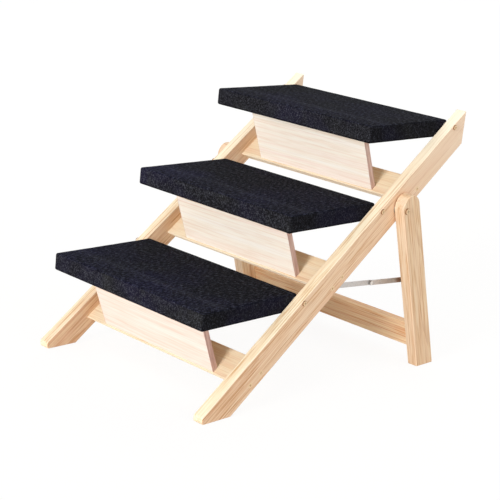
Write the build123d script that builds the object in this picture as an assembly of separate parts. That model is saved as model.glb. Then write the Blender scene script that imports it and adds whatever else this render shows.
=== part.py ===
from build123d import *
from math import cos, radians, sin, tan
import os

# Folding pet stairs. Two sloped stringers are tied by three slats. Three carpeted treads
# hang between them on screws at their back edge, a hinged riser board stands under the
# front of each tread on the slat below, and two rear legs joined by a rail fold against
# the stringers on steel stays.
# Millimetres and degrees. X runs across, +Y from the foot towards the back, +Z up, with
# the origin on the floor under the middle of the whole object.

# Side frame, measured along the stringers' front edge and square to it
slope = 37.2
frame_width = 400.0
stringer_thick = 20.0
stringer_depth = 47.0
stringer_length = 754.0
stringer_nose = 11.5
nose_round = 5.0
wood_ease = 1.6

# Steps
step_count = 3
step_pitch = 219.0
step_names = ["lower", "middle", "upper"]

# Slats between the stringers
slat_lip = 3.6
slat_width = 56.0
slat_thick = 20.0
slat_undercut = 27.0
slat_set_in = 24.5
slat_screw_spread = 27.0
slat_screw_radius = 2.0
slat_screw_length = 50.0
slat_screw_head_radius = 4.3
slat_screw_head_thick = 2.6

# Treads, with places measured from the tread's back edge and top face
tread_depth = 211.5
tread_side_gap = 2.0
tread_pivot_along = 275.3
tread_pivot_set_in = 5.0
tread_pivot_from_rear = 7.0
tread_pivot_from_top = 9.0
panel_thick = 10.0
panel_ease = 0.8
tread_rail_thick = 14.0
front_rail_width = 33.5
rear_rail_width = 30.0
carpet_thick = 2.5
carpet_round = 2.2
carpet_lip = 15.0

# Screws that the treads turn on
tread_screw_radius = 2.0
tread_screw_bite = 32.0
tread_screw_head_radius = 4.5
tread_screw_head_thick = 2.2
tread_washer_radius = 4.5
tread_washer_thick = 1.4

# Riser boards, hung on pins in the treads' side rails
riser_width = 263.0
riser_thick = 10.5
riser_side_gap = 1.0
riser_lean = 23.1
riser_pin_from_front = 43.6
riser_pin_from_top = 19.75
riser_seat_gap = 0.3
riser_ease = 0.8
riser_pin_radius = 2.0
riser_pin_in_board = 16.0
riser_pin_rail_share = 0.45

# Rear legs and the rail between them
leg_thick = 20.0
leg_width = 44.0
leg_side_gap = 1.6
leg_lean = 19.3
leg_pivot_along = 526.0
leg_pivot_set_in = 27.3
leg_pivot_from_front = 8.5
leg_rail_thick = 12.0
leg_rail_height = 49.5
leg_rail_from_pivot = 250.5
leg_dowel_radius = 3.0
leg_dowel_in_leg = 12.0
leg_dowel_in_rail = 20.0
leg_dowel_spread = 24.0

# Leg pivot bolts
leg_bolt_radius = 3.0
leg_bolt_head_radius = 5.5
leg_bolt_head_thick = 2.6
leg_insert_radius = 4.5
leg_insert_length = 16.0
leg_insert_tail = 1.5
leg_washer_radius = 8.0
leg_washer_thick = 1.0

# Folding stays, one on each side
stay_width = 9.0
stay_thick = 1.5
stay_inset = 3.1
stay_gap = 0.3
stay_front_length = 110.0
stay_pin_stand_off = 9.5
stay_pin_down_leg = 160.9
stay_pin_back_of_pivot = 26.0
stay_rivet_radius = 2.5
stay_rivet_head_radius = 4.0
stay_rivet_head_thick = 1.5
stay_screw_radius = 2.0
stay_screw_bite = 14.0
stay_screw_head_radius = 4.0
stay_screw_head_thick = 1.5
stay_bush_radius = 4.0

# Brackets that carry the stays on the back of one slat
bracket_step = 1
bracket_thick = 1.5
bracket_length = 18.0
bracket_foot = 16.0
bracket_ear_radius = 5.5
bracket_screw_radius = 1.5
bracket_screw_head_radius = 3.0
bracket_screw_head_thick = 1.2
bracket_screw_bite = 13.0
bracket_screw_spread = 9.0

# Clearances and small details that several pieces share
running_gap = 0.05
seat_gap = 0.3
overrun = 1.0
recess_share = 0.55
recess_arm_share = 0.34
head_round_share = 0.5

# Places that follow from the sizes above
half_frame = frame_width / 2
half_inside = half_frame - stringer_thick
half_tread = half_inside - tread_side_gap
half_board = half_tread - carpet_thick
half_riser = riser_width / 2
half_recess = half_riser + riser_side_gap
riser_pin_end = half_recess + (half_board - half_recess) * riser_pin_rail_share
tread_thick = panel_thick + tread_rail_thick + 2 * carpet_thick
leg_inner = half_frame + leg_side_gap
leg_outer = leg_inner + leg_thick
slat_middle_depth = slat_set_in + slat_thick / 2

along_dir = Vector(0, cos(radians(slope)), sin(radians(slope)))
depth_dir = Vector(0, sin(radians(slope)), -cos(radians(slope)))
leg_down_dir = Vector(0, sin(radians(leg_lean)), -cos(radians(leg_lean)))
leg_back_dir = Vector(0, cos(radians(leg_lean)), sin(radians(leg_lean)))
riser_down_dir = Vector(0, sin(radians(riser_lean)), -cos(radians(riser_lean)))
riser_back_dir = Vector(0, cos(radians(riser_lean)), sin(radians(riser_lean)))


# Where the stringers' front edge would meet the floor, with the origin under the middle
def front_edge_foot():
    leg_back = leg_width - leg_pivot_from_front
    pivot = along_dir * leg_pivot_along + depth_dir * leg_pivot_set_in
    heel = pivot + leg_back_dir * leg_back
    heel_reach = heel.Y + heel.Z * tan(radians(leg_lean))
    front = stringer_nose / tan(radians(slope))
    back = max((along_dir * stringer_length).Y, heel_reach)
    return Vector(0, -(front + back) / 2, 0)


foot = front_edge_foot()


# A point on the side plane, so far up the front edge and so deep behind it
def side(along, depth):
    return foot + along_dir * along + depth_dir * depth


def along_of(point):
    return (point - foot).dot(along_dir)


def depth_of(point):
    return (point - foot).dot(depth_dir)


# A straight piece that runs across, from its outline seen from the side
def across(outline, low, high):
    edge = Polyline(*[Vector(low, point.Y, point.Z) for point in outline], close=True)
    return extrude(make_face(edge), amount=high - low, dir=(1, 0, 0))


# A round bar that runs across
def rod(centre, radius, low, high):
    seat = Plane(origin=(low, centre.Y, centre.Z), x_dir=(0, 1, 0), z_dir=(1, 0, 0))
    bar = Cylinder(radius, high - low, align=(Align.CENTER, Align.CENTER, Align.MIN))
    return seat * bar


# A ring that runs across
def ring(centre, radius, bore, low, high):
    return rod(centre, radius, low, high) - rod(centre, bore, low, high)


# A tapered bar that runs across
def taper(centre, low_radius, high_radius, low, high):
    seat = Plane(origin=(low, centre.Y, centre.Z), x_dir=(0, 1, 0), z_dir=(1, 0, 0))
    bar = Cone(low_radius, high_radius, high - low, align=(Align.CENTER, Align.CENTER, Align.MIN))
    return seat * bar


def block(low, high):
    size = high - low
    return Pos(low.X, low.Y, low.Z) * Box(size.X, size.Y, size.Z, align=(Align.MIN, Align.MIN, Align.MIN))


# Rounds the long edges of a piece that runs across
def ease_across(piece, radius):
    return fillet(piece.edges().filter_by(Axis.X), radius)


def ease_all(piece, radius):
    return fillet(piece.edges(), radius)


# The twin of a piece on the other side
def twin(piece):
    return mirror(piece, about=Plane.YZ)


def both_sides(pieces):
    return pieces + [twin(piece) for piece in pieces]


# The cross that a screwdriver fits, cut into a head that looks towards +X
def cross_recess(centre, head_radius, face, sink):
    arm = head_radius * recess_share
    half_arm = arm * recess_arm_share / 2
    wide = block(Vector(face - sink, centre.Y - arm, centre.Z - half_arm),
                 Vector(face + overrun, centre.Y + arm, centre.Z + half_arm))
    tall = block(Vector(face - sink, centre.Y - half_arm, centre.Z - arm),
                 Vector(face + overrun, centre.Y + half_arm, centre.Z + arm))
    return wide + tall


# A low round head between its flat seat and its top, whose rim is rounded off
def low_head(centre, radius, seat, top):
    head = rod(centre, radius, min(seat, top), max(seat, top))
    circles = head.edges().filter_by(GeomType.CIRCLE).sort_by(Axis.X)
    rim = circles[-1] if top > seat else circles[0]
    return fillet(rim, abs(top - seat) * head_round_share)


def pan_screw(centre, radius, head_radius, head_thick, tip, seat):
    top = seat + head_thick
    screw = rod(centre, radius, tip, seat) + low_head(centre, head_radius, seat, top)
    return screw - cross_recess(centre, head_radius, top, head_thick * recess_share)


# A screw whose head is let into the wood, flush with the face
def flush_screw(centre, radius, head_radius, head_thick, tip, face):
    screw = rod(centre, radius, tip, face - head_thick)
    screw += taper(centre, radius, head_radius, face - head_thick, face)
    return screw - cross_recess(centre, head_radius, face, head_thick * recess_share)


def tread_pivot(step):
    return side(tread_pivot_along + step * step_pitch, tread_pivot_set_in)


def tread_rear(step):
    return tread_pivot(step).Y + tread_pivot_from_rear


def tread_front(step):
    return tread_rear(step) - tread_depth


def tread_top(step):
    return tread_pivot(step).Z + tread_pivot_from_top


def riser_pin(step):
    return Vector(0, tread_front(step) + riser_pin_from_front, tread_top(step) - riser_pin_from_top)


# Where one face of a riser meets the slat below it
def riser_foot(step, back):
    start = riser_pin(step) + riser_back_dir * back
    drop = slat_set_in - riser_seat_gap - depth_of(start)
    return start + riser_down_dir * (drop / riser_down_dir.dot(depth_dir))


# A slat's lower edge stands out a little in front of the riser that it carries
def slat_along(step):
    return along_of(riser_foot(step, -riser_thick / 2)) - slat_lip + slat_width / 2


def slat_screw_places(step):
    middle = slat_along(step)
    reach = slat_screw_spread / 2
    return [side(middle - reach, slat_middle_depth), side(middle + reach, slat_middle_depth)]


leg_pivot = side(leg_pivot_along, leg_pivot_set_in)


def on_leg(down, back):
    return leg_pivot + leg_down_dir * down + leg_back_dir * back


# The stay's three joints, in one straight line while the stairs stand
stay_front_pin = side(slat_along(bracket_step), slat_set_in + slat_thick + stay_pin_stand_off)
stay_leg_pin = on_leg(stay_pin_down_leg, stay_pin_back_of_pivot)
stay_dir = (stay_leg_pin - stay_front_pin).normalized()
stay_knee = stay_front_pin + stay_dir * stay_front_length

# Places across of the stay's layers on the right, from the stringer inwards
rear_link_high = half_inside - stay_inset
rear_link_low = rear_link_high - stay_thick
front_link_high = rear_link_low - stay_gap
front_link_low = front_link_high - stay_thick
ear_high = front_link_low - stay_gap
ear_low = ear_high - bracket_thick


# The nose is rounded more than the stringer's other edges
def ease_nose(timber):
    timber = fillet(timber.edges().filter_by(Axis.X).group_by(Axis.Y)[0], nose_round)
    nose_end = timber.bounding_box().min.Y + nose_round
    rest = [edge for edge in timber.edges() if not on_nose(edge, nose_end)]
    return fillet(rest, wood_ease)


# An edge that runs across and lies where the rounded nose goes over into a flat face
def on_nose(edge, nose_end):
    box = edge.bounding_box()
    return box.size.X > wood_ease and box.max.Y < nose_end + running_gap


def make_stringer():
    heel_along = stringer_depth / tan(radians(slope))
    nose_along = stringer_nose / sin(radians(slope))
    nose = side(nose_along, 0)
    outline = [
        Vector(0, nose.Y, 0),
        nose,
        side(stringer_length, 0),
        side(stringer_length - stringer_depth * tan(radians(slope)), stringer_depth),
        side(heel_along, stringer_depth),
    ]
    timber = ease_nose(across(outline, half_inside, half_frame))
    for step in range(step_count):
        hole = tread_screw_radius + running_gap
        timber -= rod(tread_pivot(step), hole, half_inside - overrun, half_frame + overrun)
        for place in slat_screw_places(step):
            neck = half_frame - slat_screw_head_thick
            timber -= rod(place, slat_screw_radius, half_inside - overrun, neck)
            timber -= taper(place, slat_screw_radius, slat_screw_head_radius, neck, half_frame)
    timber -= rod(leg_pivot, leg_insert_radius, half_frame - leg_insert_length, half_frame + overrun)
    return timber


def make_slat(step):
    middle = slat_along(step)
    reach = slat_width / 2
    back = slat_set_in + slat_thick
    undercut = slat_thick * tan(radians(slat_undercut))
    outline = [
        side(middle - reach, slat_set_in),
        side(middle + reach, slat_set_in),
        side(middle + reach, back),
        side(middle - reach + undercut, back),
    ]
    timber = ease_across(across(outline, -half_inside, half_inside), wood_ease)
    tip = half_frame - slat_screw_length
    for place in slat_screw_places(step):
        hole = rod(place, slat_screw_radius, tip, half_inside + overrun)
        timber -= hole + twin(hole)
    return timber


def make_slat_screws():
    tip = half_frame - slat_screw_length
    places = [place for step in range(step_count) for place in slat_screw_places(step)]
    return both_sides([
        flush_screw(place, slat_screw_radius, slat_screw_head_radius,
                    slat_screw_head_thick, tip, half_frame)
        for place in places
    ])


def make_tread_panel(step):
    top = tread_top(step) - carpet_thick
    low = Vector(-half_board, tread_front(step) + carpet_thick, top - panel_thick)
    high = Vector(half_board, tread_rear(step) - carpet_thick, top)
    panel = fillet(block(low, high).edges().filter_by(Axis.Z), panel_ease)
    hole = rod(tread_pivot(step), tread_screw_radius, half_tread - tread_screw_bite, half_tread)
    return panel - hole - twin(hole)


# The four rails glued under a panel leave a recess that the riser folds into
def make_tread_rails(step):
    low_z = tread_top(step) - tread_thick + carpet_thick
    high_z = low_z + tread_rail_thick
    front = tread_front(step) + carpet_thick
    rear = tread_rear(step) - carpet_thick
    front_end = front + front_rail_width
    rear_end = rear - rear_rail_width
    front_rail = block(Vector(-half_board, front, low_z), Vector(half_board, front_end, high_z))
    rear_rail = block(Vector(-half_board, rear_end, low_z), Vector(half_board, rear, high_z))
    front_rail = fillet(front_rail.edges().filter_by(Axis.Z).group_by(Axis.Y)[0], panel_ease)
    rear_rail = fillet(rear_rail.edges().filter_by(Axis.Z).group_by(Axis.Y)[-1], panel_ease)
    side_rail = block(Vector(half_recess, front_end, low_z), Vector(half_board, rear_end, high_z))
    side_rail -= rod(riser_pin(step), riser_pin_radius, half_recess - overrun, riser_pin_end)
    return front_rail, rear_rail, twin(side_rail), side_rail


# The carpet covers the top, wraps all four edges and ends in a lip under the rails
def make_tread_carpet(step):
    low = Vector(-half_tread, tread_front(step), tread_top(step) - tread_thick)
    high = Vector(half_tread, tread_rear(step), tread_top(step))
    skin = ease_all(block(low, high), carpet_round)
    wrap = Vector(carpet_thick, carpet_thick, carpet_thick)
    skin -= fillet(block(low + wrap, high - wrap).edges().filter_by(Axis.Z), panel_ease)
    lip = Vector(carpet_lip, carpet_lip, -overrun)
    skin -= block(low + lip, Vector(high.X - carpet_lip, high.Y - carpet_lip, low.Z + carpet_thick))
    hole = rod(tread_pivot(step), tread_screw_radius, half_board - overrun, half_tread + overrun)
    return skin - hole - twin(hole)


def make_tread_screws(step):
    seat = half_frame + seat_gap
    tip = half_tread - tread_screw_bite
    return both_sides([
        pan_screw(tread_pivot(step), tread_screw_radius, tread_screw_head_radius,
                  tread_screw_head_thick, tip, seat)
    ])


def make_tread_washers():
    low = half_tread + (tread_side_gap - tread_washer_thick) / 2
    bore = tread_screw_radius + running_gap
    return both_sides([
        ring(tread_pivot(step), tread_washer_radius, bore, low, low + tread_washer_thick)
        for step in range(step_count)
    ])


# A riser has a round top about its pins, and a foot cut to the slope of the slat it stands on
def make_riser(step):
    pin = riser_pin(step)
    reach = riser_thick / 2
    front = pin - riser_back_dir * reach
    rear = pin + riser_back_dir * reach
    outline = [front, riser_foot(step, -reach), riser_foot(step, reach), rear]
    board = across(outline, -half_riser, half_riser)
    board += rod(pin, reach, -half_riser, half_riser)
    board = fillet(board.edges().filter_by(Axis.X).sort_by(Axis.Z)[:2], riser_ease)
    hole = rod(pin, riser_pin_radius + running_gap, half_riser - riser_pin_in_board, half_riser + overrun)
    return board - hole - twin(hole)


def make_riser_pins(step):
    low = half_riser - riser_pin_in_board + seat_gap
    return both_sides([rod(riser_pin(step), riser_pin_radius, low, riser_pin_end)])


def leg_rail_places():
    middle = leg_rail_from_pivot + leg_rail_height / 2
    back = leg_width - leg_pivot_from_front - leg_rail_thick / 2
    reach = leg_dowel_spread / 2
    return [on_leg(middle - reach, back), on_leg(middle + reach, back)]


def make_leg():
    back = leg_width - leg_pivot_from_front
    top = on_leg(0, leg_width / 2 - leg_pivot_from_front)
    front_corner = on_leg(0, -leg_pivot_from_front)
    back_corner = on_leg(0, back)
    lean = cos(radians(leg_lean))
    front_foot = front_corner + leg_down_dir * (front_corner.Z / lean)
    back_foot = back_corner + leg_down_dir * (back_corner.Z / lean)
    leg = across([front_corner, back_corner, back_foot, front_foot], leg_inner, leg_outer)
    leg += rod(top, leg_width / 2, leg_inner, leg_outer)
    leg = ease_all(leg, wood_ease)
    leg -= rod(leg_pivot, leg_bolt_radius + running_gap, leg_inner - overrun, leg_outer + overrun)
    for place in leg_rail_places():
        leg -= rod(place, leg_dowel_radius, leg_inner - overrun, leg_inner + leg_dowel_in_leg)
    leg -= rod(stay_leg_pin, stay_screw_radius, leg_inner - overrun, leg_inner + stay_screw_bite)
    return leg


def make_leg_rail():
    low = leg_rail_from_pivot
    high = low + leg_rail_height
    back = leg_width - leg_pivot_from_front
    front = back - leg_rail_thick
    outline = [on_leg(low, front), on_leg(low, back), on_leg(high, back), on_leg(high, front)]
    rail = ease_across(across(outline, -leg_inner, leg_inner), wood_ease)
    for place in leg_rail_places():
        hole = rod(place, leg_dowel_radius, leg_inner - leg_dowel_in_rail, leg_inner + overrun)
        rail -= hole + twin(hole)
    return rail


def make_leg_dowels():
    low = leg_inner - leg_dowel_in_rail
    high = leg_inner + leg_dowel_in_leg
    return both_sides([rod(place, leg_dowel_radius, low, high) for place in leg_rail_places()])


def make_leg_bolts():
    seat = leg_outer + seat_gap
    tip = half_frame - leg_insert_length + leg_insert_tail
    return both_sides([
        pan_screw(leg_pivot, leg_bolt_radius, leg_bolt_head_radius, leg_bolt_head_thick, tip, seat)
    ])


# A sleeve with a closed end, let into the stringer's outer face
def make_leg_inserts():
    low = half_frame - leg_insert_length
    sleeve = rod(leg_pivot, leg_insert_radius, low, half_frame)
    sleeve -= rod(leg_pivot, leg_bolt_radius, low + leg_insert_tail, half_frame + overrun)
    return both_sides([sleeve])


def make_leg_washers():
    low = half_frame + (leg_side_gap - leg_washer_thick) / 2
    bore = leg_bolt_radius + running_gap
    return both_sides([ring(leg_pivot, leg_washer_radius, bore, low, low + leg_washer_thick)])


# A flat strip with round ends between two joints of the stay
def make_link(start, end, start_bore, end_bore, low, high):
    square = Vector(0, -stay_dir.Z, stay_dir.Y) * (stay_width / 2)
    strip = across([start + square, end + square, end - square, start - square], low, high)
    strip += rod(start, stay_width / 2, low, high) + rod(end, stay_width / 2, low, high)
    strip -= rod(start, start_bore, low - overrun, high + overrun)
    return strip - rod(end, end_bore, low - overrun, high + overrun)


def make_front_link():
    loose = stay_rivet_radius + running_gap
    return make_link(stay_front_pin, stay_knee, loose, stay_rivet_radius, front_link_low, front_link_high)


def make_rear_link():
    loose = stay_screw_radius + running_gap
    return make_link(stay_knee, stay_leg_pin, stay_rivet_radius, loose, rear_link_low, rear_link_high)


# The knee rivet is in two halves, each held by its own link
def make_knee_rivet_outer():
    top = rear_link_high + stay_rivet_head_thick
    head = low_head(stay_knee, stay_rivet_head_radius, rear_link_high, top)
    return head + rod(stay_knee, stay_rivet_radius, rear_link_low, rear_link_high)


def make_knee_rivet_inner():
    top = front_link_low - stay_rivet_head_thick
    head = low_head(stay_knee, stay_rivet_head_radius, front_link_low, top)
    return head + rod(stay_knee, stay_rivet_radius, front_link_low, front_link_high)


def bracket_screw_places():
    middle = slat_along(bracket_step)
    reach = bracket_screw_spread / 2
    face = slat_set_in + slat_thick + bracket_thick
    return [side(middle - reach, face), side(middle + reach, face)]


def bracket_screw_across():
    return ear_low - (bracket_foot - bracket_thick) / 2


# A round bar that stands square on the slats, from one depth to another
def stud(place, across_place, radius, start, end):
    base = place + depth_dir * (start - depth_of(place))
    seat = Plane(origin=(across_place, base.Y, base.Z), x_dir=(1, 0, 0), z_dir=tuple(depth_dir))
    return seat * Cylinder(radius, end - start, align=(Align.CENTER, Align.CENTER, Align.MIN))


def make_bracket():
    middle = slat_along(bracket_step)
    reach = bracket_length / 2
    base = slat_set_in + slat_thick
    face = base + bracket_thick
    foot_outline = [
        side(middle - reach, base), side(middle + reach, base),
        side(middle + reach, face), side(middle - reach, face),
    ]
    ear_outline = [
        side(middle - reach, base), side(middle + reach, base),
        side(middle + bracket_ear_radius, base + stay_pin_stand_off),
        side(middle - bracket_ear_radius, base + stay_pin_stand_off),
    ]
    bracket = across(foot_outline, ear_high - bracket_foot, ear_high)
    bracket += across(ear_outline, ear_low, ear_high)
    bracket += rod(stay_front_pin, bracket_ear_radius, ear_low, ear_high)
    bracket -= rod(stay_front_pin, stay_rivet_radius, ear_low - overrun, ear_high + overrun)
    for place in bracket_screw_places():
        bracket -= stud(place, bracket_screw_across(), bracket_screw_radius, base - overrun, face + overrun)
    return bracket


def make_bracket_screws():
    base = slat_set_in + slat_thick
    face = base + bracket_thick
    screws = []
    for place in bracket_screw_places():
        spot = bracket_screw_across()
        screw = stud(place, spot, bracket_screw_radius, face - bracket_screw_bite, face)
        screw += stud(place, spot, bracket_screw_head_radius, face, face + bracket_screw_head_thick)
        screws.append(screw)
    return both_sides(screws)


# The slat that carries the brackets has holes for their screws
def drill_bracket_slat(slat):
    face = slat_set_in + slat_thick + bracket_thick
    for place in bracket_screw_places():
        spot = bracket_screw_across()
        hole = stud(place, spot, bracket_screw_radius, face - bracket_screw_bite, face)
        slat -= hole + twin(hole)
    return slat


def make_bracket_rivets():
    seat = front_link_high + stay_gap
    rivet = rod(stay_front_pin, stay_rivet_radius, ear_low, seat)
    rivet += low_head(stay_front_pin, stay_rivet_head_radius, seat, seat + stay_rivet_head_thick)
    rivet += low_head(stay_front_pin, stay_rivet_head_radius, ear_low, ear_low - stay_rivet_head_thick)
    return both_sides([rivet])


def make_stay_bushes():
    low = rear_link_high + stay_gap
    return both_sides([ring(stay_leg_pin, stay_bush_radius, stay_screw_radius, low, leg_inner)])


# The stay's screw goes into the leg from the inside, with its head towards the middle
def make_stay_screws():
    seat = rear_link_low - stay_gap
    head = low_head(stay_leg_pin, stay_screw_head_radius, seat, seat - stay_screw_head_thick)
    shank = rod(stay_leg_pin, stay_screw_radius, seat, leg_inner + stay_screw_bite)
    return both_sides([head + shank])


def make_nodes():
    nodes = {}
    stringer = make_stringer()
    nodes["stringer_left"] = [twin(stringer)]
    nodes["stringer_right"] = [stringer]
    for step in range(step_count):
        name = step_names[step]
        slat = make_slat(step)
        nodes["slat_" + name] = [drill_bracket_slat(slat) if step == bracket_step else slat]
        nodes["tread_panel_" + name] = [make_tread_panel(step)]
        front_rail, rear_rail, left_rail, right_rail = make_tread_rails(step)
        nodes["tread_front_rail_" + name] = [front_rail]
        nodes["tread_rear_rail_" + name] = [rear_rail]
        nodes["tread_side_rail_left_" + name] = [left_rail]
        nodes["tread_side_rail_right_" + name] = [right_rail]
        nodes["tread_carpet_" + name] = [make_tread_carpet(step)]
        nodes["tread_pivot_screws_" + name] = make_tread_screws(step)
        nodes["riser_board_" + name] = [make_riser(step)]
        nodes["riser_pins_" + name] = make_riser_pins(step)
    nodes["slat_screws"] = make_slat_screws()
    nodes["tread_pivot_washers"] = make_tread_washers()
    leg = make_leg()
    nodes["leg_left"] = [twin(leg)]
    nodes["leg_right"] = [leg]
    nodes["leg_rail"] = [make_leg_rail()]
    nodes["leg_rail_dowels"] = make_leg_dowels()
    nodes["leg_pivot_bolts"] = make_leg_bolts()
    nodes["leg_pivot_inserts"] = make_leg_inserts()
    nodes["leg_pivot_washers"] = make_leg_washers()
    front_link = make_front_link()
    rear_link = make_rear_link()
    inner_half = make_knee_rivet_inner()
    outer_half = make_knee_rivet_outer()
    nodes["stay_front_link_left"] = [twin(front_link)]
    nodes["stay_front_link_right"] = [front_link]
    nodes["stay_rear_link_left"] = [twin(rear_link)]
    nodes["stay_rear_link_right"] = [rear_link]
    nodes["stay_knee_rivet_tail_left"] = [twin(inner_half)]
    nodes["stay_knee_rivet_tail_right"] = [inner_half]
    nodes["stay_knee_rivet_head_left"] = [twin(outer_half)]
    nodes["stay_knee_rivet_head_right"] = [outer_half]
    bracket = make_bracket()
    nodes["stay_brackets"] = both_sides([bracket])
    nodes["stay_bracket_screws"] = make_bracket_screws()
    nodes["stay_bracket_rivets"] = make_bracket_rivets()
    nodes["stay_bushes"] = make_stay_bushes()
    nodes["stay_leg_screws"] = make_stay_screws()
    return nodes


def write_nodes():
    os.makedirs("parts", exist_ok=True)
    for name, pieces in make_nodes().items():
        solids = [solid for piece in pieces for solid in piece.solids()]
        export_step(Compound(solids), "parts/" + name + ".step")


write_nodes()
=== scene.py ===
import bmesh
import bpy
import math
from mathutils import Matrix, Vector, noise
from types import SimpleNamespace


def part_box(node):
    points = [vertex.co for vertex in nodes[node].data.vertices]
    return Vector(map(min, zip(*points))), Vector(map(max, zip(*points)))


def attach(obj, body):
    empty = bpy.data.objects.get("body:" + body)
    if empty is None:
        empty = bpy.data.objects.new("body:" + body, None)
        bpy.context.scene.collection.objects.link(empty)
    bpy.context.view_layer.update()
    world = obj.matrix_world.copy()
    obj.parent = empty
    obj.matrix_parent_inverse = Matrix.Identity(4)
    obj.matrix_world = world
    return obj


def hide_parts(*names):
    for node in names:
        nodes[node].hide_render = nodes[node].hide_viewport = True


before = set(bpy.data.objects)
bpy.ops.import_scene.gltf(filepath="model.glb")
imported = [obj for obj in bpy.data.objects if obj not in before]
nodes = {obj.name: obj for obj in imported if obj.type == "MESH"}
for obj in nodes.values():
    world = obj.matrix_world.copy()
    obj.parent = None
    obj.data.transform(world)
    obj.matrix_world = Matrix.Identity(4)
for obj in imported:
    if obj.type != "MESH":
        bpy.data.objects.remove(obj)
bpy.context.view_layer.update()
stepNames = ["lower", "middle", "upper"]
print("frame loaded,", len(nodes), "nodes")

# Camera, fitted to the photograph: degrees, metres, and the lens and sensor in millimetres
cameraPlan = {
    "bearing": 42.247, "height": 15.427, "roll": 6.124, "distance": 2.26934,
    "aim": (0.0, -0.006581, 0.187337), "lens": 94.374, "sensor": 36.0,
}


# The way to a camera or lamp, from its bearing from the front towards the right and its height, in degrees
def wayTo(bearing, height):
    turn, rise = math.radians(bearing), math.radians(height)
    return Vector((math.sin(turn) * math.cos(rise), -math.cos(turn) * math.cos(rise), math.sin(rise)))


def placeCamera(plan):
    back = wayTo(plan["bearing"], plan["height"])
    turn, roll = math.radians(plan["bearing"]), math.radians(plan["roll"])
    right = Vector((math.cos(turn), math.sin(turn), 0))
    up = back.cross(right)
    rolledRight = right * math.cos(roll) + up * math.sin(roll)
    rolledUp = up * math.cos(roll) - right * math.sin(roll)
    data = bpy.data.cameras.new("photoCamera")
    data.lens, data.sensor_width = plan["lens"], plan["sensor"]
    camera = bpy.data.objects.new("photoCamera", data)
    bpy.context.collection.objects.link(camera)
    axes = Matrix((rolledRight, rolledUp, back)).transposed().to_4x4()
    camera.matrix_world = Matrix.Translation(Vector(plan["aim"]) + back * plan["distance"]) @ axes
    bpy.context.scene.camera = camera


placeCamera(cameraPlan)


# An sRGB colour, 0 to 255, as Blender's linear values
def shade(*channels):
    shares = [channel / 255 for channel in channels]
    linear = [c / 12.92 if c <= 0.04045 else ((c + 0.055) / 1.055) ** 2.4 for c in shares]
    return (*linear, 1.0)


# A socket in a shader, so that maths on it reads as plain expressions
class Signal:
    def __init__(self, finish, socket):
        self.finish, self.socket = finish, socket

    def maths(self, operation, *values):
        return self.finish.add("Math", {"operation": operation}, dict(enumerate(values)))

    def __add__(self, other):
        return self.maths("ADD", self, other)

    def __radd__(self, other):
        return self.maths("ADD", other, self)

    def __sub__(self, other):
        return self.maths("SUBTRACT", self, other)

    def __rsub__(self, other):
        return self.maths("SUBTRACT", other, self)

    def __mul__(self, other):
        return self.maths("MULTIPLY", self, other)

    def __rmul__(self, other):
        return self.maths("MULTIPLY", other, self)

    def __truediv__(self, other):
        return self.maths("DIVIDE", self, other)

    def __pow__(self, other):
        return self.maths("POWER", self, other)

    def __abs__(self):
        return self.maths("ABSOLUTE", self)

    def fract(self):
        return self.maths("FRACT", self)

    def floor(self):
        return self.maths("FLOOR", self)

    def sine(self):
        return self.maths("SINE", self)

    def larger(self, other):
        return self.maths("MAXIMUM", self, other)

    # A noise about its middle, from minus a half to a half
    def swing(self):
        return self - 0.5

    # 0 at low, 1 at high, soft at both ends
    def ease(self, low, high):
        return self.finish.add("MapRange", {"interpolation_type": "SMOOTHSTEP"}, {0: self, 1: low, 2: high})


# A material or world under construction
class Finish:
    def __init__(self, owner):
        owner.use_nodes = True
        self.owner, self.tree = owner, owner.node_tree
        self.tree.nodes.clear()

    # Adds a node: its settings first, then its sockets' values or links
    def add(self, kind, settings=None, sockets=None, output=0):
        node = self.tree.nodes.new("ShaderNode" + kind)
        for key, value in (settings or {}).items():
            setattr(node, key, value)
        for key, value in (sockets or {}).items():
            if isinstance(value, Signal):
                self.tree.links.new(value.socket, node.inputs[key])
            else:
                node.inputs[key].default_value = value
        return Signal(self, node.outputs[output]) if len(node.outputs) else None

    # Mixes colours, which a Mix node takes at its sockets 6 and 7 and gives at its output 2
    def mix(self, amount, first, second, blend="MIX"):
        settings = {"data_type": "RGBA", "blend_type": blend}
        return self.add("Mix", settings, {0: amount, 6: first, 7: second}, 2)

    def multiply(self, amount, first, second):
        return self.mix(amount, first, second, "MULTIPLY")

    def noise(self, place, scale, detail, rough):
        sockets = {"Vector": place, "Scale": scale, "Detail": detail, "Roughness": rough}
        return self.add("TexNoise", None, sockets)

    # Coordinates times a scale of their own along each axis
    def squeeze(self, place, scales):
        return self.add("Mapping", {"vector_type": "POINT"}, {"Vector": place, "Scale": scales})

    # Noise with so many cycles per metre along each axis, so that it can run along a grain
    def stretched(self, place, scales, detail, rough):
        return self.noise(self.squeeze(place, scales), 1.0, detail, rough)

    # Coordinates of a piece from its middle, along its own axes
    def local(self, middle, axes):
        place = self.add("TexCoord", None, None, "Object")
        turned = {"Vector": place, "Location": middle, "Rotation": axes.to_euler()}
        return self.add("Mapping", {"vector_type": "TEXTURE"}, turned)

    def normal(self):
        return self.add("TexCoord", None, None, "Normal")

    def split(self, vector):
        parts = self.add("SeparateXYZ", None, {0: vector}).socket.node.outputs
        return [Signal(self, part) for part in parts]

    def bump(self, strength, distance, height):
        return self.add("Bump", None, {"Strength": strength, "Distance": distance, "Height": height})

    # The surface, from the Principled BSDF's sockets
    def close(self, sockets):
        self.add("OutputMaterial", None, {"Surface": self.add("BsdfPrincipled", None, sockets)})
        return self.owner

    # Gives CAD nodes this material
    def dress(self, *names):
        for name in names:
            data = nodes[name].data
            data.materials.clear()
            data.materials.append(self.owner)


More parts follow.
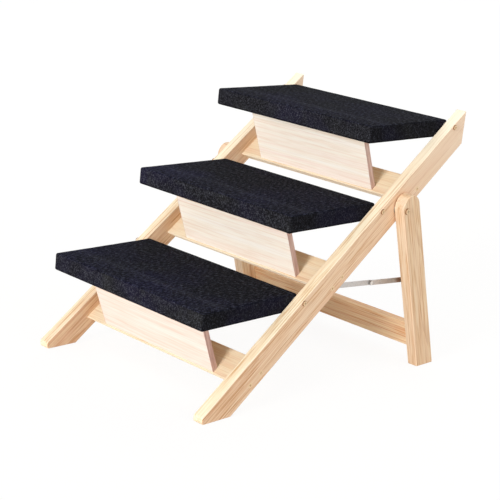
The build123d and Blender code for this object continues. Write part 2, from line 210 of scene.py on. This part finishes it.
# A plank's middle, its axes, and its half sizes along them
def plankOf(name, along, across):
    axes = Matrix((along, across, along.cross(across))).transposed()
    points = [axes.transposed() @ vertex.co for vertex in nodes[name].data.vertices]
    low = Vector([min(point[i] for point in points) for i in range(3)])
    high = Vector([max(point[i] for point in points) for i in range(3)])
    return axes @ ((low + high) / 2), axes, (high - low) / 2


# What all wood shares. A pattern is its cycles per metre along and across the grain, its detail and its
# roughness. An ease is where an effect starts and where it is full.
growth = {
    "seedSteps": (1.37, 0.71, 2.13),
    "fibre": ((14.0, 900.0, 900.0), 3.0, 0.6), "grain": ((9.0, 330.0, 330.0), 3.0, 0.6),
    "mottle": ((14.0, 150.0, 150.0), 2.0, 0.5), "streak": ((5.0, 420.0, 420.0), 2.0, 0.55),
    # sway and wobble: how slowly both change along and across the grain, then each one's noise
    "slow": (0.9, 9.0, 9.0), "swayNoise": (3.0, 2.0, 0.45), "wobbleNoise": (11.0, 2.0, 0.5),
    # metres that sway, wobble and streaks move the rings by
    "sway": 0.016, "wobble": 0.0030, "ripple": 0.0008,
    # late wood's start and end in its ring, the palest year's share, and how bands change it
    "lateRise": (0.30, 0.88), "lateFall": (0.92, 1.0), "palestYear": 0.25,
    "bandSteady": 0.55, "bandSwing": 0.9, "bandLow": 0.25,
    "warmEase": (0.46, 0.72), "paleEase": (0.46, 0.26), "paleAmount": 0.4,
    "streakEase": (0.48, 0.66), "grainEase": (0.52, 0.62), "mottleEase": (0.46, 0.66),
    "fibreEase": (0.60, 0.82), "fibreAmount": 0.30, "topEase": (0.1, 1.0),
    # by how far a face looks to a side, to the front, up, or along the grain where it is cut across
    "sideEase": (0.5, 0.95), "frontEase": (0.5, 0.9), "upEase": (0.4, 0.8),
    "cutEase": (0.35, 0.75), "cutFade": 0.8,
    # end grain, in metres from the plank's end, and its layers
    "endReach": (-0.0012, 0.0002), "endSteady": 0.2, "endSwing": 0.6,
    "endNoise": (1.0, 0.5), "layerEase": (0.35, 0.65),
    # worn edges, paler partly as wear and partly as painted highlight on the arrises, in metres from the edge
    "wearStart": 0.0002, "wearSwing": 0.0016, "wearAndHighlightAmount": 0.5,
    # changes of roughness, and the bump's height and coat
    "lateRough": 0.07, "fibreRough": 0.12, "wearRough": 0.05,
    "lateHeight": 0.35, "fibreHeight": 0.4, "bumpDistance": 0.0006,
    "coat": 0.08, "coatRoughness": 0.35, "specular": 0.4,
}

# Looks of the woods: ringGap and wear in metres, amounts from 0 to 1
pine = {
    "early": shade(255, 237, 206), "late": shade(220, 172, 126), "pale": shade(255, 245, 222),
    "warm": shade(236, 188, 152), "fibre": shade(194, 144, 102), "endGrain": shade(214, 168, 124),
    # side tints faces that look to a side, partly the wood's own tone on those faces and partly painted shade
    "side": shade(252, 232, 222), "sideAmount": 0.9, "front": shade(255, 255, 255),
    "ringGap": 0.0040, "ringStrength": 0.75, "warmth": 0.35, "calm": 0.55, "paleTop": 0.0,
    "roughness": 0.46, "wear": 0.0022, "relief": 0.16,
    # darker streaks, fine grain lines and broader mottling, each multiplied in
    "streakTint": shade(234, 213, 192), "streakAmount": 0.6,
    "grainTint": shade(226, 203, 178), "grainAmount": 0.8,
    "mottleTint": shade(242, 228, 210), "mottleAmount": 0.55,
    # bands of warmer and paler wood, and the end grain's layers: cycles per metre
    "band": ((2.2, 85.0, 85.0), 2.0, 0.5), "endLayers": (1.0, 260.0, 260.0),
}
stringerPine = {
    **pine, "early": shade(255, 240, 210), "late": shade(226, 181, 137), "side": shade(255, 235, 226),
    "endGrain": shade(240, 208, 170), "endLayers": (1.0, 15.0, 15.0), "paleTop": 0.75,
    "ringStrength": 0.55, "warmth": 0.3, "grainAmount": 0.95, "streakAmount": 0.5,
}
slatPine = {
    # the slats' front tint is painted shade on their narrow front edges
    **pine, "early": shade(255, 239, 208), "front": shade(222, 214, 205), "ringGap": 0.0046,
    "ringStrength": 0.45, "grainAmount": 0.4, "streakAmount": 0.3, "mottleAmount": 0.4,
}
legPine = {
    **pine, "early": shade(250, 223, 188), "late": shade(207, 162, 122), "pale": shade(251, 230, 201),
    # the legs' front tint is painted shade on their front faces
    "warm": shade(230, 182, 147), "side": shade(255, 251, 247), "front": shade(234, 234, 237),
    "ringGap": 0.0030, "ringStrength": 0.55,
}
railPine = {
    **legPine, "early": shade(255, 225, 186), "late": shade(206, 154, 110), "pale": shade(255, 236, 202),
    "warm": shade(236, 184, 140), "front": shade(255, 255, 255), "ringStrength": 0.85, "wear": 0.0006,
    "streakTint": shade(240, 210, 182), "grainTint": shade(232, 200, 170),
    "mottleTint": shade(250, 230, 208), "mottleAmount": 0.4,
}
riserPine = {
    **pine, "early": shade(255, 246, 232), "late": shade(250, 226, 210), "pale": shade(255, 252, 247),
    "warm": shade(252, 229, 219), "fibre": shade(236, 210, 194), "endGrain": shade(186, 148, 140),
    "side": shade(240, 220, 220), "ringGap": 0.0065, "ringStrength": 0.5, "warmth": 0.6, "wear": 0.0016,
    "streakTint": shade(242, 230, 220), "streakAmount": 0.4,
    "grainTint": shade(244, 233, 224), "grainAmount": 0.45,
    "mottleTint": shade(246, 237, 231), "mottleAmount": 0.4,
    "band": ((2.2, 65.0, 65.0), 2.0, 0.5), "endLayers": (1.0, 18.0, 320.0),
}
# the lowest riser's wood is a darker copy, painted shade against the stronger light that board gets
lowRiserShadedPine = {
    **riserPine, "early": shade(246, 231, 220), "late": shade(240, 216, 200), "pale": shade(252, 242, 233),
    "warm": shade(243, 217, 204),
}
underPine = {
    **pine, "early": shade(238, 212, 172), "late": shade(206, 164, 118), "pale": shade(246, 226, 194),
    "ringGap": 0.0055, "roughness": 0.6,
}


# The places, facings and patterns that a plank's rings, colours and bumps are made of
def surveyPlank(finish, plank, look, seed):
    middle, axes, half = plank
    place, normal = finish.local(middle, axes), finish.normal()
    shift = [seed * step for step in growth["seedSteps"]]
    moved = finish.add("VectorMath", {"operation": "ADD"}, {0: place, 1: shift})
    slow = finish.squeeze(moved, growth["slow"])
    cut = finish.add("VectorMath", {"operation": "DOT_PRODUCT"}, {0: normal, 1: axes.col[0]}, "Value")
    seen = SimpleNamespace(moved=moved, half=half)
    seen.u, seen.v, seen.w = finish.split(place)
    seen.x, seen.y, seen.z = finish.split(normal)
    seen.fibre, seen.grain, seen.mottle, seen.streak = (
        finish.stretched(moved, *growth[key]) for key in ("fibre", "grain", "mottle", "streak"))
    seen.band = finish.stretched(moved, *look["band"])
    seen.sway = finish.noise(slow, *growth["swayNoise"]).swing()
    seen.wobble = finish.noise(slow, *growth["wobbleNoise"]).swing()
    seen.lengthwise = 1 - abs(cut).ease(*growth["cutEase"]) * growth["cutFade"]
    return seen


# Rings round a pith line beside the plank: late wood as it lies in each ring, and as dark as it shows
def growRings(finish, seen, look, pith, tilt, seed):
    ringV = seen.v - pith[0] + seen.u * tilt[0]
    ringW = seen.w - pith[1] + seen.u * tilt[1]
    radius = (ringV * ringV + ringW * ringW) ** 0.5 + seen.sway * growth["sway"]
    radius = radius + seen.wobble * growth["wobble"] + seen.streak.swing() * growth["ripple"]
    turns = radius / look["ringGap"] + seed
    ring = turns.fract()
    late = ring.ease(*growth["lateRise"]) * (1 - ring.ease(*growth["lateFall"]))
    yearly = finish.add("TexWhiteNoise", {"noise_dimensions": "1D"}, {"W": turns.floor()})
    palest = growth["palestYear"]
    banded = growth["bandSteady"] + growth["bandSwing"] * (seen.band - growth["bandLow"])
    calm = 1 - seen.z.ease(*growth["upEase"]) * look["calm"]
    return late, late * (palest + (1 - palest) * yearly) * banded * look["ringStrength"] * calm


def colourWood(finish, seen, look, lateness, wornAndHighlit):
    colour = finish.mix(lateness, look["early"], look["late"])
    colour = finish.mix(seen.band.ease(*growth["warmEase"]) * look["warmth"], colour, look["warm"])
    colour = finish.mix(seen.band.ease(*growth["paleEase"]) * growth["paleAmount"], colour, look["pale"])
    for key, pattern in (("streak", seen.streak), ("grain", seen.grain), ("mottle", seen.mottle)):
        amount = pattern.ease(*growth[key + "Ease"]) * look[key + "Amount"] * seen.lengthwise
        colour = finish.multiply(amount, colour, look[key + "Tint"])
    colour = finish.mix(seen.fibre.ease(*growth["fibreEase"]) * growth["fibreAmount"], colour, look["fibre"])
    if look["paleTop"]:
        upTheLength = (seen.u / seen.half.x).ease(*growth["topEase"])
        colour = finish.mix(upTheLength * look["paleTop"], colour, look["pale"])
    # faces that look to a side take the side tint, partly the wood's own tone and partly painted shade
    sideways = abs(seen.x).ease(*growth["sideEase"])
    colour = finish.multiply(sideways * look["sideAmount"], colour, look["side"])
    # painted shade on faces that look to the front, by the front tint
    colour = finish.multiply((0 - seen.y).ease(*growth["frontEase"]), colour, look["front"])
    ends = (abs(seen.u) - seen.half.x).ease(*growth["endReach"])
    layers = finish.stretched(seen.moved, look["endLayers"], *growth["endNoise"]).ease(*growth["layerEase"])
    colour = finish.mix(ends * (growth["endSteady"] + layers * growth["endSwing"]), colour, look["endGrain"])
    # edges paler, partly as wear and partly as a painted highlight on the eased arrises
    return finish.mix(wornAndHighlit * growth["wearAndHighlightAmount"], colour, look["pale"])


def woodFinish(name, plank, look, pith, tilt, seed):
    finish = Finish(bpy.data.materials.new(name + "Wood"))
    seen = surveyPlank(finish, plank, look, seed)
    late, lateness = growRings(finish, seen, look, pith, tilt, seed)
    edge = (seen.half.y - abs(seen.v)).larger(seen.half.z - abs(seen.w))
    edge = edge + seen.band.swing() * growth["wearSwing"]
    wornAndHighlit = 1 - edge.ease(growth["wearStart"], look["wear"])
    roughness = look["roughness"] + late * growth["lateRough"] + seen.fibre.swing() * growth["fibreRough"]
    height = lateness * growth["lateHeight"] + seen.fibre * growth["fibreHeight"]
    finish.close({
        "Base Color": colourWood(finish, seen, look, lateness, wornAndHighlit),
        "Roughness": roughness - wornAndHighlit * growth["wearRough"],
        "Normal": finish.bump(look["relief"], growth["bumpDistance"], height),
        "Coat Weight": growth["coat"], "Coat Roughness": growth["coatRoughness"],
        "Specular IOR Level": growth["specular"],
    })
    finish.dress(name)


# How the timbers lean, in degrees, and the ways along and across them
lean = {"stringer": 37.2, "leg": 19.3, "riser": 23.1}
slopeAngle, legAngle, riserAngle = (math.radians(lean[key]) for key in ("stringer", "leg", "riser"))
acrossDir = Vector((1, 0, 0))
backDir = Vector((0, 1, 0))
stringerDir = Vector((0, math.cos(slopeAngle), math.sin(slopeAngle)))
stringerDepth = Vector((0, math.sin(slopeAngle), -math.cos(slopeAngle)))
legDir = Vector((0, math.sin(legAngle), -math.cos(legAngle)))
legBack = Vector((0, math.cos(legAngle), math.sin(legAngle)))
riserDir = Vector((0, math.sin(riserAngle), -math.cos(riserAngle)))

# Each plank: its node, the ways along and across it, its look, the pith's place beside its middle and its
# slope along it, and a seed
woodPlans = [
    ("stringer_left", stringerDir, stringerDepth, stringerPine, (-0.090, 0.030), (0.004, 0.002), 1.3),
    ("stringer_right", stringerDir, stringerDepth, stringerPine, (-0.110, -0.020), (0.003, 0.004), 2.6),
    ("leg_left", legDir, legBack, legPine, (0.010, 0.045), (0.010, 0.020), 3.1),
    ("leg_right", legDir, legBack, legPine, (0.012, -0.032), (0.006, 0.028), 4.7),
    ("leg_rail", acrossDir, legDir, railPine, (-0.060, 0.030), (0.004, 0.010), 5.9),
    ("leg_rail_dowels", acrossDir, legDir, underPine, (-0.020, 0.010), (0.0, 0.0), 6.3),
]
for count, step in enumerate(stepNames):
    slatPith = (-0.085 if count % 2 else 0.085, 0.030)
    riserPith = (0.03 + 0.02 * count, 0.09)
    riserLook = riserPine if count else lowRiserShadedPine
    stepPlans = [
        ("slat", acrossDir, stringerDir, slatPine, slatPith, (0.004, 0.004), 7.1),
        ("riser_board", acrossDir, riserDir, riserLook, riserPith, (0.01, 0.01), 10.4),
        ("tread_panel", acrossDir, backDir, underPine, (0.02, 0.12), (0.02, 0.01), 13.2),
        ("tread_front_rail", acrossDir, backDir, underPine, (-0.04, 0.05), (0.01, 0.006), 16.5),
        ("tread_rear_rail", acrossDir, backDir, underPine, (0.05, 0.04), (0.01, 0.008), 19.8),
        ("tread_side_rail_left", backDir, acrossDir, underPine, (0.04, 0.05), (0.01, 0.01), 22.7),
        ("tread_side_rail_right", backDir, acrossDir, underPine, (-0.05, 0.05), (0.02, 0.01), 25.6),
    ]
    woodPlans += [(name + "_" + step, *ways, seed + count) for name, *ways, seed in stepPlans]
for name, along, across, look, pith, tilt, seed in woodPlans:
    woodFinish(name, plankOf(name, along, across), look, pith, tilt, seed)
print("wood done,", len(woodPlans), "planks")

# What all metal shares: brushed lines and a cloud of duller patches as patterns, and how far they change it
brushing = {
    "lines": ((30.0, 2600.0, 2600.0), 2.0, 0.6), "cloud": (420.0, 3.0, 0.55),
    "dullEase": (0.42, 0.72), "dullAmount": 0.55, "rimEase": (0.97, 0.80),
    "cloudReach": 0.01, "pinReach": 0.004,
    "lineRough": 0.22, "cloudRough": 0.16, "relief": 0.2, "bumpDistance": 0.0002,
}

# Looks of the metals: rim is how far painted shade darkens faces that don't look sideways, reaches are metres
# from the stay's pin
yellowZinc = {
    "base": shade(246, 216, 174), "dull": shade(222, 176, 126), "rimShade": shade(132, 86, 48),
    "metal": 0.35, "roughness": 0.42, "rim": 0.9,
}
screwZinc = {**yellowZinc, "rim": 0.4, "rimShade": shade(176, 122, 76)}
zincPlate = {
    "base": shade(206, 206, 204), "dull": shade(164, 164, 164), "rimShade": shade(110, 108, 104),
    "metal": 1.0, "roughness": 0.40, "rim": 0.3,
}
staySteel = {
    "base": shade(210, 206, 203), "dull": shade(190, 185, 181), "rimShade": shade(112, 102, 94),
    "metal": 0.6, "roughness": 0.42, "rim": 0.4,
    # a painted reflection and shadow of the wooden leg: brown, then darkest, within these metres of the
    # stay's pin
    "legReflectionShade": shade(150, 112, 82), "darkestLegShade": shade(84, 62, 44), "legShadeReach": 0.027, "darkLegShadeReach": 0.011,
}
rivetZinc = {
    "base": shade(240, 240, 238), "dull": shade(214, 212, 208), "rimShade": shade(120, 114, 108),
    "metal": 0.4, "roughness": 0.35, "rim": 0.9,
}


def metalFinish(name, look, members, grainAxes=Matrix.Identity(3), pin=Vector((0, 0, 0))):
    finish = Finish(bpy.data.materials.new(name))
    place = finish.local(pin, grainAxes)
    lines = finish.stretched(place, *brushing["lines"])
    cloud = finish.noise(place, *brushing["cloud"])
    dullness = cloud.ease(*brushing["dullEase"]) * brushing["dullAmount"]
    colour = finish.mix(dullness, look["base"], look["dull"])
    sideways = abs(finish.split(finish.normal())[0])
    # painted shade on rims and edges: faces that don't look sideways take the rim shade colour
    colour = finish.mix(sideways.ease(*brushing["rimEase"]) * look["rim"], colour, look["rimShade"])
    # painted reflection and shadow of the leg, brown and then darkest towards the stay's pin
    if "legReflectionShade" in look:
        reach = abs(finish.split(place)[0]) + cloud.swing() * brushing["cloudReach"]
        colour = finish.mix(reach.ease(look["legShadeReach"], look["darkLegShadeReach"]), colour, look["legReflectionShade"])
        colour = finish.mix(reach.ease(look["darkLegShadeReach"], brushing["pinReach"]), colour, look["darkestLegShade"])
    roughness = look["roughness"] + lines.swing() * brushing["lineRough"]
    roughness = roughness + cloud.swing() * brushing["cloudRough"]
    finish.close({
        "Base Color": colour, "Metallic": look["metal"], "Roughness": roughness,
        "Normal": finish.bump(brushing["relief"], brushing["bumpDistance"], lines),
    })
    finish.dress(*members)


stayStart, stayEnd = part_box("stay_rear_link_right")
stayDir = Vector((0, stayEnd.y - stayStart.y, stayEnd.z - stayStart.z)).normalized()
stayAxes = Matrix((stayDir, acrossDir, stayDir.cross(acrossDir))).transposed()
bushLow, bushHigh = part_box("stay_bushes")
rivetNodes = [name for name in nodes if "knee" in name]
stayNodes = [name for name in nodes if name.startswith("stay_") and name not in ["stay_bushes"] + rivetNodes]
screwNodes = ["tread_pivot_screws_" + step for step in stepNames]
pinNodes = ["riser_pins_" + step for step in stepNames]
plateNodes = ["tread_pivot_washers", "leg_pivot_inserts", "leg_pivot_washers", "stay_bushes"]
metalFinish("yellowZinc", yellowZinc, screwNodes + ["leg_pivot_bolts"])
metalFinish("screwZinc", screwZinc, ["slat_screws"])
metalFinish("zincPlate", zincPlate, plateNodes + pinNodes)
metalFinish("staySteel", staySteel, stayNodes, stayAxes, (bushLow + bushHigh) / 2)
metalFinish("rivetZinc", rivetZinc, rivetNodes, stayAxes)
print("metal done")

# Carpet: one cloth round each tread, with a weave that follows it over the edges
carpetPlan = {
    # metres: the cloth's thickness, its edges' round, its lip under the rails, the mesh's cells and its lumps
    "thick": 0.0023, "round": 0.0034, "lip": 0.015, "cell": 0.0048, "unevenness": 0.0003, "weld": 1e-6,
    "roundShares": (0.0, 0.35, 0.7, 1.0), "lipShares": (0, 0.07, 0.14, 0.2, 0.4, 0.6, 0.8, 1.0),
    # lumps per metre, broad and fine, and the fine ones' share
    "lumps": 55, "fineLumps": 190, "fineShare": 0.6,
}
clothPlan = {
    "dark": shade(23, 22, 25), "light": shade(112, 114, 124), "blue": shade(29, 26, 46),
    # gap is painted shade between the threads
    "grey": shade(42, 42, 40), "gap": shade(7, 7, 9), "roughness": 0.96, "specular": 0.05,
    # the weave: metres from thread to thread, and how low a thread's hump stays at its sides
    "thread": 0.0018, "humpLow": 0.7, "fuzzHeight": 0.5, "relief": 0.55, "bumpDistance": 0.0008,
    # runs of yarn along both ways of the weave, specks and fuzz
    "warp": ((560.0, 130.0, 1.0), 1.0, 0.5), "weft": ((130.0, 560.0, 1.0), 1.0, 0.5),
    "speck": (480.0, 1.0, 0.6), "fuzz": (1900.0, 2.0, 0.7),
    "speckEase": (0.46, 0.66), "yarnEase": (0.58, 0.78), "yarnAmount": 0.5,
    "fleckAmount": 0.42, "gapShadeAmount": 0.4,
    # clouds of blue and grey
    "cloud": (9.0, 3.0, 0.5), "blueEase": (0.42, 0.64),
    "ash": (21.0, 2.0, 0.5), "ashEase": (0.50, 0.72), "ashAmount": 0.6,
    # painted shade as tints: the top darker, more towards its rear, and bluer at its front, the upper tread's
    # top darker, the sides darker, and the fold over the lower edges dark
    "facing": (0.3, 0.9), "topFrontShade": shade(204, 207, 252), "topRearShade": shade(178, 182, 203),
    "blueAndShadeReach": (0.105, 0.030), "upperTopShade": shade(206, 206, 212), "upperReach": (0.33, 0.40),
    "flank": shade(206, 208, 214), "fold": shade(120, 120, 122), "foldHeight": 0.0035, "foldEdge": 0.001,
    # rows along the top, and a pale ridge behind its front edge, in metres from that edge
    "rows": ((380.0, 120.0, 1.0), 2.0, 0.6),
    "rowDark": shade(150, 150, 152), "rowDarkEase": (0.52, 0.38),
    "rowLight": shade(150, 154, 170), "rowLightEase": (0.50, 0.68), "rowLightAmount": 0.12,
    "ridgeRise": (0.034, 0.046), "ridgeFall": (0.060, 0.048), "ridge": 0.055,
}


# The weave's threads: their height, and a chance value for each crossing
def weaveCloth(finish, across, along, plan):
    warp, weft = across / plan["thread"], along / plan["thread"]
    warpCell, weftCell = warp.floor(), weft.floor()
    over = ((warpCell + weftCell) * 0.5).fract() * 2
    humpWarp, humpWeft = ((run.fract() * math.pi).sine() for run in (warp, weft))
    low = plan["humpLow"]
    warpTop = humpWarp * (low + (1 - low) * humpWeft)
    weftTop = humpWeft * (low + (1 - low) * humpWarp)
    cell = finish.add("CombineXYZ", None, {0: warpCell, 1: weftCell, 2: 0.0})
    chance = finish.add("TexWhiteNoise", {"noise_dimensions": "2D"}, {"Vector": cell})
    return over * warpTop + (1 - over) * weftTop, chance


def clothFinish(plan, half):
    finish = Finish(bpy.data.materials.new("charcoalCarpet"))
    cloth = finish.add("UVMap", {"uv_map": "cloth"})
    solid = finish.add("TexCoord", None, None, "Object")
    across, along = finish.split(cloth)[:2]
    height, stitch = weaveCloth(finish, across, along, plan)
    yarn = finish.stretched(cloth, *plan["warp"]).larger(finish.stretched(cloth, *plan["weft"]))
    speck = finish.noise(solid, *plan["speck"]).ease(*plan["speckEase"])
    fleck = speck * (0.5 + 0.5 * stitch) + yarn.ease(*plan["yarnEase"]) * plan["yarnAmount"]
    tint = finish.mix(finish.noise(solid, *plan["cloud"]).ease(*plan["blueEase"]), plan["dark"], plan["blue"])
    ash = finish.noise(solid, *plan["ash"]).ease(*plan["ashEase"])
    tint = finish.mix(ash * plan["ashAmount"], tint, plan["grey"])
    colour = finish.mix(fleck * plan["fleckAmount"] * (0.5 + 0.5 * height), tint, plan["light"])
    # painted shade in the gaps between the threads, where their height dips
    colour = finish.mix((1 - height) * plan["gapShadeAmount"], colour, plan["gap"])

    flank, top = finish.split(finish.normal())[::2]
    upward, fromFront = top.ease(*plan["facing"]), along + half.y
    # painted shade on the top: darker overall, more towards its rear, with a bluer front
    topShade = finish.mix(fromFront.ease(*plan["blueAndShadeReach"]), plan["topRearShade"], plan["topFrontShade"])
    colour = finish.multiply(upward, colour, topShade)
    # painted shade: the upper tread's top darker
    upper = finish.split(solid)[2].ease(*plan["upperReach"])
    colour = finish.multiply(upward * upper, colour, plan["upperTopShade"])
    rows = finish.stretched(cloth, *plan["rows"])
    colour = finish.multiply(upward * rows.ease(*plan["rowDarkEase"]), colour, plan["rowDark"])
    paleRows = rows.ease(*plan["rowLightEase"]) * plan["rowLightAmount"]
    colour = finish.mix(upward * paleRows, colour, plan["rowLight"])
    ridge = fromFront.ease(*plan["ridgeRise"]) * fromFront.ease(*plan["ridgeFall"]) * plan["ridge"]
    colour = finish.mix(upward * ridge, colour, plan["light"])
    # painted shade: the sides darker than the front
    colour = finish.multiply(abs(flank).ease(*plan["facing"]), colour, plan["flank"])
    # painted shade along the fold under the lower edges
    drop = (abs(across) - half.x).larger(abs(along) - half.y)
    shadedFold = drop.ease(2 * half.z - plan["foldHeight"], 2 * half.z - plan["foldEdge"])
    threads = height + finish.noise(solid, *plan["fuzz"]) * plan["fuzzHeight"]
    return finish.close({
        "Base Color": finish.multiply(shadedFold, colour, plan["fold"]), "Roughness": plan["roughness"],
        "Normal": finish.bump(plan["relief"], plan["bumpDistance"], threads),
        "Specular IOR Level": plan["specular"],
    })


# Places from one end to the other, closer together where the cloth rounds an edge
def spaced(low, high, plan):
    near = [plan["round"] * share for share in plan["roundShares"]]
    inner = high - low - 2 * plan["round"]
    count = max(1, round(inner / plan["cell"]))
    middle = [low + plan["round"] + inner * i / count for i in range(1, count)]
    return [low + gap for gap in near] + middle + [high - gap for gap in reversed(near)]


# A grid of faces with cloth coordinates; place gives the point, flat the cloth coordinates
def patch(mesh, layer, rows, columns, place, flat):
    made = [[mesh.verts.new(place(row, column)) for column in columns] for row in rows]
    for i in range(len(rows) - 1):
        for j in range(len(columns) - 1):
            corners = [(i, j), (i, j + 1), (i + 1, j + 1), (i + 1, j)]
            face = mesh.faces.new([made[a][b] for a, b in corners])
            face.smooth = True
            for loop, (a, b) in zip(face.loops, corners):
                loop[layer].uv = flat(rows[a], columns[b])


# The cloth laid out square: the top, the four drops and the four lips, welded where they meet
def layCloth(mesh, half, plan):
    layer = mesh.loops.layers.uv.new("cloth")
    xs, ys, zs = (spaced(-half[i], half[i], plan) for i in range(3))
    lips = [plan["lip"] * share for share in plan["lipShares"]]
    tall = 2 * half.z
    patch(mesh, layer, ys, xs, lambda y, x: (x, y, half.z), lambda y, x: (x, y))
    for sign in (-1, 1):
        patch(mesh, layer, zs, xs, lambda z, x: (x, sign * half.y, z),
              lambda z, x: (x, sign * (half.y + half.z - z)))
        patch(mesh, layer, zs, ys, lambda z, y: (sign * half.x, y, z),
              lambda z, y: (sign * (half.x + half.z - z), y))
        patch(mesh, layer, lips, xs, lambda t, x: (x * (half.x - t) / half.x, sign * (half.y - t), -half.z),
              lambda t, x: (x * (half.x - t) / half.x, sign * (half.y + tall + t)))
        patch(mesh, layer, lips, ys, lambda t, y: (sign * (half.x - t), y * (half.y - t) / half.y, -half.z),
              lambda t, y: (sign * (half.x + tall + t), y * (half.y - t) / half.y))
    bmesh.ops.remove_doubles(mesh, verts=mesh.verts, dist=plan["weld"])


# Rounds the square cloth's edges, moves it to its tread, and makes it a little uneven
def settleCloth(mesh, middle, half, plan):
    inner = [half[i] - plan["round"] for i in range(3)]
    for vertex in mesh.verts:
        core = Vector([max(-inner[i], min(inner[i], vertex.co[i])) for i in range(3)])
        out = (vertex.co - core).normalized()
        place = vertex.co + middle
        lumps = noise.noise(place * plan["lumps"])
        lumps += noise.noise(place * plan["fineLumps"]) * plan["fineShare"]
        vertex.co = core + out * (plan["round"] + plan["unevenness"] * (0.5 + 0.5 * lumps)) + middle
    bmesh.ops.recalc_face_normals(mesh, faces=mesh.faces)


def linkMesh(name, mesh, material):
    data = bpy.data.meshes.new(name)
    mesh.to_mesh(data)
    mesh.free()
    data.materials.append(material)
    piece = bpy.data.objects.new(name, data)
    bpy.context.collection.objects.link(piece)
    return piece


def wrapCarpet(step, plan, material):
    low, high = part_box("tread_carpet_" + step)
    mesh = bmesh.new()
    layCloth(mesh, (high - low) / 2, plan)
    settleCloth(mesh, (low + high) / 2, (high - low) / 2, plan)
    carpet = linkMesh("carpet_" + step, mesh, material)
    body = carpet.modifiers.new("clothThickness", "SOLIDIFY")
    body.thickness, body.offset, body.use_even_offset = plan["thick"], -1.0, True
    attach(carpet, "tread_" + step)
    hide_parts("tread_carpet_" + step)


carpetLow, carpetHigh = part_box("tread_carpet_lower")
carpetMaterial = clothFinish(clothPlan, (carpetHigh - carpetLow) / 2)
for step in stepNames:
    wrapCarpet(step, carpetPlan, carpetMaterial)
print("carpets done")

# Floor, world and lamps: a plain white studio
studio = {
    "floorReach": 30.0, "floorSegments": 64, "floorNoise": (3.0, 2.0, 0.5), "patchAmount": 0.1,
    "floorColour": shade(222, 219, 214), "floorPatch": shade(214, 211, 206),
    # the glowing part of the floor that the camera sees, and how white its matte part is in the open
    "floorGlow": 0.82, "litFloor": 0.56,
    # the world's white as light on the object
    "ambient": 0.60, "white": (1, 1, 1, 1), "lampDistance": 3.0,
    # bearing, height and softness in degrees, and the white that each lamp alone gives a surface facing it
    "lamps": {
        "keyLamp": (6, 11, 22, 0.77),
        "sideLamp": (88, 20, 50, 0.12),
        "backLamp": (205, 30, 50, 0.16),
    },
}


# 1 where the camera sees a surface straight, or in or through a glossy one, and 0 for the light on the object
def whiteFor(finish):
    rays = ("Is Camera Ray", "Is Glossy Ray", "Is Transmission Ray")
    seen = [finish.add("LightPath", None, None, key) for key in rays]
    return seen[0].larger(seen[1]).larger(seen[2])


def layFloor(plan):
    finish = Finish(bpy.data.materials.new("studioFloor"))
    patches = finish.noise(finish.add("TexCoord", None, None, "Object"), *plan["floorNoise"])
    colour = finish.mix(patches * plan["patchAmount"], plan["floorColour"], plan["floorPatch"])
    matte = finish.add("BsdfDiffuse", None, {"Color": colour})
    share = plan["floorGlow"]
    strength = (1 - (1 - share) * plan["litFloor"]) / share  # an open floor is white, and shadows stay
    glow = finish.add("Emission", None, {"Color": plan["white"], "Strength": strength})
    both = finish.add("MixShader", None, {0: whiteFor(finish) * share, 1: matte, 2: glow})
    finish.add("OutputMaterial", None, {"Surface": both})
    mesh = bmesh.new()
    bmesh.ops.create_circle(mesh, cap_ends=True, radius=plan["floorReach"], segments=plan["floorSegments"])
    linkMesh("studioFloor", mesh, finish.owner)


def lightWorld(plan):
    world = bpy.data.worlds.new("studioWorld")
    bpy.context.scene.world = world
    finish = Finish(world)
    strength = whiteFor(finish) * (1 - plan["ambient"]) + plan["ambient"]
    glow = finish.add("Background", None, {"Color": plan["white"], "Strength": strength})
    finish.add("OutputWorld", None, {"Surface": glow})


def hangLamp(name, distance, bearing, height, softness, white):
    data = bpy.data.lights.new(name, "SUN")
    data.angle, data.energy = math.radians(softness), white * math.pi
    lamp = bpy.data.objects.new(name, data)
    bpy.context.collection.objects.link(lamp)
    way = wayTo(bearing, height)
    lamp.location = way * distance
    lamp.rotation_euler = way.to_track_quat("Z", "Y").to_euler()


layFloor(studio)
lightWorld(studio)
for name, plan in studio["lamps"].items():
    hangLamp(name, studio["lampDistance"], *plan)
bpy.context.scene.view_settings.view_transform = "Standard"
print("studio done")
